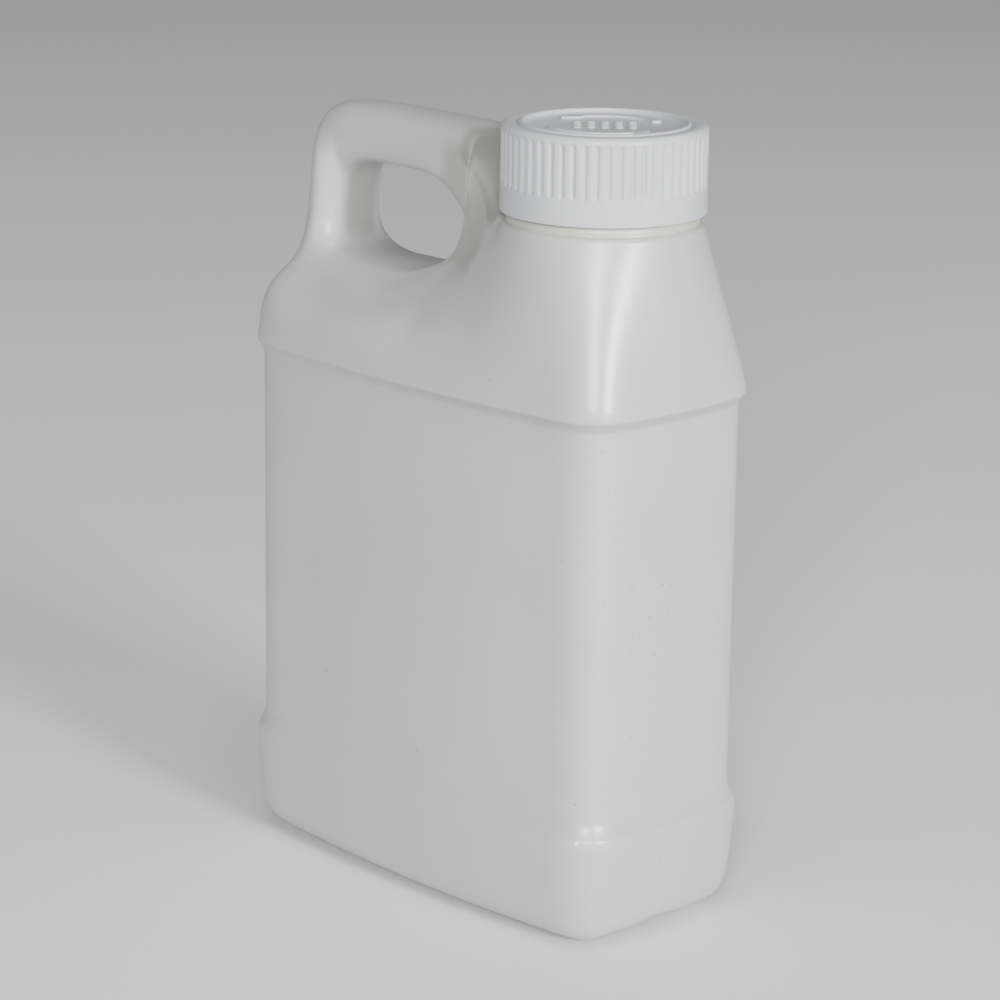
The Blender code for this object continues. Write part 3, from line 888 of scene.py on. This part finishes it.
def body_plastic(body, axis_x, piece):
    """Natural polyethylene: satin and slightly cloudy, with drawing marks, a parting line, and
    painted shade and a painted highlight in its colour.
    """
    finish = Finish("jug_polyethylene")
    along = finish.axis("X")
    side = abs(finish.axis("Y"))
    height = finish.axis("Z")
    cloud = finish.noise(*CLOUD)
    streak = finish.noise(*STREAK)
    seam = side.between(*SEAM_SIDE) * (0.2 + 0.8 * along.between(*SEAM_FADES))
    # Painted shade along the fold under the shoulder ridge, fainter towards the handle
    fold_shade = abs(height - (body.shoulder_ridge_z - FOLD_SHADE_DROP)).between(*FOLD_SHADE_REACH)
    fold_shade = fold_shade * (0.25 + 0.75 * along.between(*FOLD_SHADE_GROWS))
    thick = (height - body.shoulder_top_z).between(*RING_RISE)
    thick = thick * finish.reach(axis_x).between(*RING_REACH)
    # Painted shade round the hole, deeper painted shade beside the cap, and a painted highlight on
    # the leg
    shaded, deep, leg_highlight = handle_painted_light(along, side, height)
    specks = marked(finish, [(seen_at(piece, across, down), SPECK_LEAST + SPECK_STEP * size)
                             for across, down, size in SPECKS])
    rubs = marked(finish, RUBS) * streak.between(0.45, 0.6)
    base = finish.mix(cloud.between(0.35, 0.68), opaque(body.plastic), opaque(body.plastic, 0.96))
    # Painted light over the base colour: the painted highlight on the leg, painted shade along the
    # fold under the shoulder ridge and round the hole, deeper painted shade beside the cap; then
    # the cream of the thick ring, the specks and the rub marks
    layers = (
        (leg_highlight * 0.9, PAINTED_HIGHLIGHT),
        (fold_shade * 0.42, PAINTED_SHADE),
        (shaded, PAINTED_SHADE),
        (deep * 0.9, DEEP_SHADE),
        (thick, opaque(body.cream)),
        (specks * 0.42, SPECK_COLOUR),
        (rubs * 0.8, RUB_COLOUR),
    )
    for mask, tint in layers:
        base = finish.mix(mask, base, tint)
    relief = 0.010 * finish.noise(*GRAIN) + 0.004 * streak + 0.7 * finish.noise(*WAVE)
    relief = relief + 0.10 * seam - 0.05 * specks + 0.05 * rubs
    finish.set({
        "Base Color": base,
        "Roughness": body.roughness - 0.03 + 0.06 * streak + 0.04 * cloud + 0.25 * deep,
        "Normal": finish.bump(relief),
        "Subsurface Weight": 0.15,
        "Subsurface Radius": (1.0, 1.0, 0.8),
        "Subsurface Scale": 0.003,
        "IOR": 1.54,
        "Specular IOR Level": 1.0,
    })
    return finish.material


def cap_plastic(cap, name):
    """Injection-moulded plastic: smoother and a little cooler than the body."""
    finish = Finish(name)
    cloud = finish.noise(*CAP_CLOUD)
    scuff = finish.noise(*CAP_SCUFF).between(0.56, 0.75)
    finish.set({
        "Base Color": finish.mix(cloud.between(0.4, 0.7), opaque(cap.plastic),
                                 opaque(cap.plastic, 0.95)),
        "Roughness": cap.roughness + 0.05 * cloud + 0.10 * scuff,
        "Normal": finish.bump(0.015 * finish.noise(*CAP_GRAIN) + 0.01 * scuff),
        "Subsurface Weight": 0.1,
        "Subsurface Radius": (1.0, 1.0, 1.0),
        "Subsurface Scale": 0.0015,
        "IOR": 1.49,
    })
    return finish.material


def add_piece(name, mesh):
    """Links a smooth-shaded piece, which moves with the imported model's body."""
    mesh.shade_smooth()
    piece = bpy.data.objects.new(name, mesh)
    bpy.context.scene.collection.objects.link(piece)
    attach(piece, "root")
    return piece


class JUG_OT_body(bpy.types.Operator):
    """Make the finished body in place of the plain one"""
    bl_idname = "jug.body"
    bl_label = "Body"

    def execute(self, context):
        settings = context.scene.jug_settings
        body = settings.body
        piece = add_piece("jug_body", body_mesh(body, settings.cap))
        smooth = piece.modifiers.new("smooth", "SUBSURF")
        smooth.levels = body.smoothing
        smooth.render_levels = body.smoothing
        piece.data.materials.append(body_plastic(body, settings.cap.axis_x, piece))
        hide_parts("jug")
        return {"FINISHED"}


class JUG_OT_cap(bpy.types.Operator):
    """Make the ribbed cap and the raised marks on its top"""
    bl_idname = "jug.cap"
    bl_label = "Cap"

    def execute(self, context):
        settings = context.scene.jug_settings
        cap = settings.cap
        piece = add_piece("jug_cap", cap_mesh(cap, settings.body.neck_radius))
        piece.data.materials.append(cap_plastic(cap, "cap_plastic"))
        piece.data.set_sharp_from_angle(angle=CAP_SHARP)
        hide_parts("cap")
        relief = add_piece("cap_relief", relief_mesh(cap))
        relief.data.materials.append(cap_plastic(cap, "cap_relief_plastic"))
        relief.data.set_sharp_from_angle(angle=MARKS_SHARP)
        bevel = relief.modifiers.new("soft_edges", "BEVEL")
        bevel.width = MARKS_BEVEL
        bevel.segments = 2
        return {"FINISHED"}


class JUG_OT_studio(bpy.types.Operator):
    """Make the floor, the lights and the camera"""
    bl_idname = "jug.studio"
    bl_label = "Studio"

    def execute(self, context):
        studio = context.scene.jug_settings.studio
        add_floor(studio)
        add_room_light(studio)
        powers = (studio.top_light, studio.side_light, studio.front_light)
        for placing, power_in_watts in zip(SOFTBOXES, powers):
            add_softbox(*placing, power_in_watts)
        add_camera()
        return {"FINISHED"}


def add_floor(studio):
    bm = bmesh.new()
    bmesh.ops.create_grid(bm, x_segments=1, y_segments=1, size=FLOOR_HALF_SIZE)
    floor = bpy.data.objects.new("floor", as_mesh(bm, "floor"))
    finish = Finish("floor_paper")
    pale = opaque(studio.floor_colour)
    tint = finish.mix(finish.noise(9, 2) * 0.05, pale, (0.8, 0.8, 0.8, 1.0))
    finish.set({"Base Color": tint, "Roughness": 0.9})
    floor.data.materials.append(finish.material)
    bpy.context.scene.collection.objects.link(floor)


def add_room_light(studio):
    world = bpy.data.worlds.new("room")
    world.use_nodes = True
    background = world.node_tree.nodes["Background"]
    background.inputs["Color"].default_value = (1, 1, 1, 1)
    background.inputs["Strength"].default_value = studio.room_light
    bpy.context.scene.world = world


def add_softbox(name, azimuth, elevation, size, power_in_watts):
    """A square area light that faces the middle of the jug."""
    data = bpy.data.lights.new(name, "AREA")
    data.shape = "SQUARE"
    data.size = size
    data.energy = power_in_watts
    data.color = SOFTBOX_COLOUR
    light = bpy.data.objects.new(name, data)
    turned = facing(math.radians(azimuth), math.radians(elevation), 0.0)
    place = Vector((0, 0, CAD_BOX[1].z / 2)) + turned @ Vector((0, 0, SOFTBOX_DISTANCE))
    light.matrix_world = Matrix.Translation(place) @ turned.to_4x4()
    bpy.context.scene.collection.objects.link(light)


def facing(azimuth, elevation, roll):
    """Turn of a camera or light that looks at the jug from that side."""
    around = Matrix.Rotation(azimuth, 3, "Z")
    tilt = Matrix.Rotation(math.pi / 2 - elevation, 3, "X")
    return around @ tilt @ Matrix.Rotation(roll, 3, "Z")


def add_camera():
    data = bpy.data.cameras.new("camera")
    data.lens = CAMERA_LENS_MM
    data.sensor_width = CAMERA_SENSOR_MM
    data.clip_start = 0.05
    data.clip_end = 50
    camera = bpy.data.objects.new("camera", data)
    turned = facing(CAMERA_AZIMUTH, CAMERA_ELEVATION, CAMERA_ROLL)
    camera.matrix_world = Matrix.Translation(CAMERA_PLACE) @ turned.to_4x4()
    bpy.context.scene.collection.objects.link(camera)
    bpy.context.scene.camera = camera


class JUG_PT_panel(bpy.types.Panel):
    """Buttons that make the jug, and its settings"""
    bl_label = "F-style jug"
    bl_idname = "JUG_PT_panel"
    bl_space_type = "VIEW_3D"
    bl_region_type = "UI"
    bl_category = "Jug"

    def draw(self, context):
        settings = context.scene.jug_settings
        for operator, group in (("jug.body", settings.body), ("jug.cap", settings.cap),
                                ("jug.studio", settings.studio)):
            box = self.layout.box()
            box.operator(operator)
            for name in group.__annotations__:
                box.prop(group, name)


CLASSES = (BodySettings, CapSettings, StudioSettings, JugSettings,
           JUG_OT_body, JUG_OT_cap, JUG_OT_studio, JUG_PT_panel)


def register():
    for cls in CLASSES:
        bpy.utils.register_class(cls)
    bpy.types.Scene.jug_settings = PointerProperty(type=JugSettings)


def unregister():
    del bpy.types.Scene.jug_settings
    for cls in reversed(CLASSES):
        bpy.utils.unregister_class(cls)


def main():
    register()
    bpy.ops.jug.body()
    bpy.ops.jug.cap()
    bpy.ops.jug.studio()


if __name__ == "__main__":
    main()
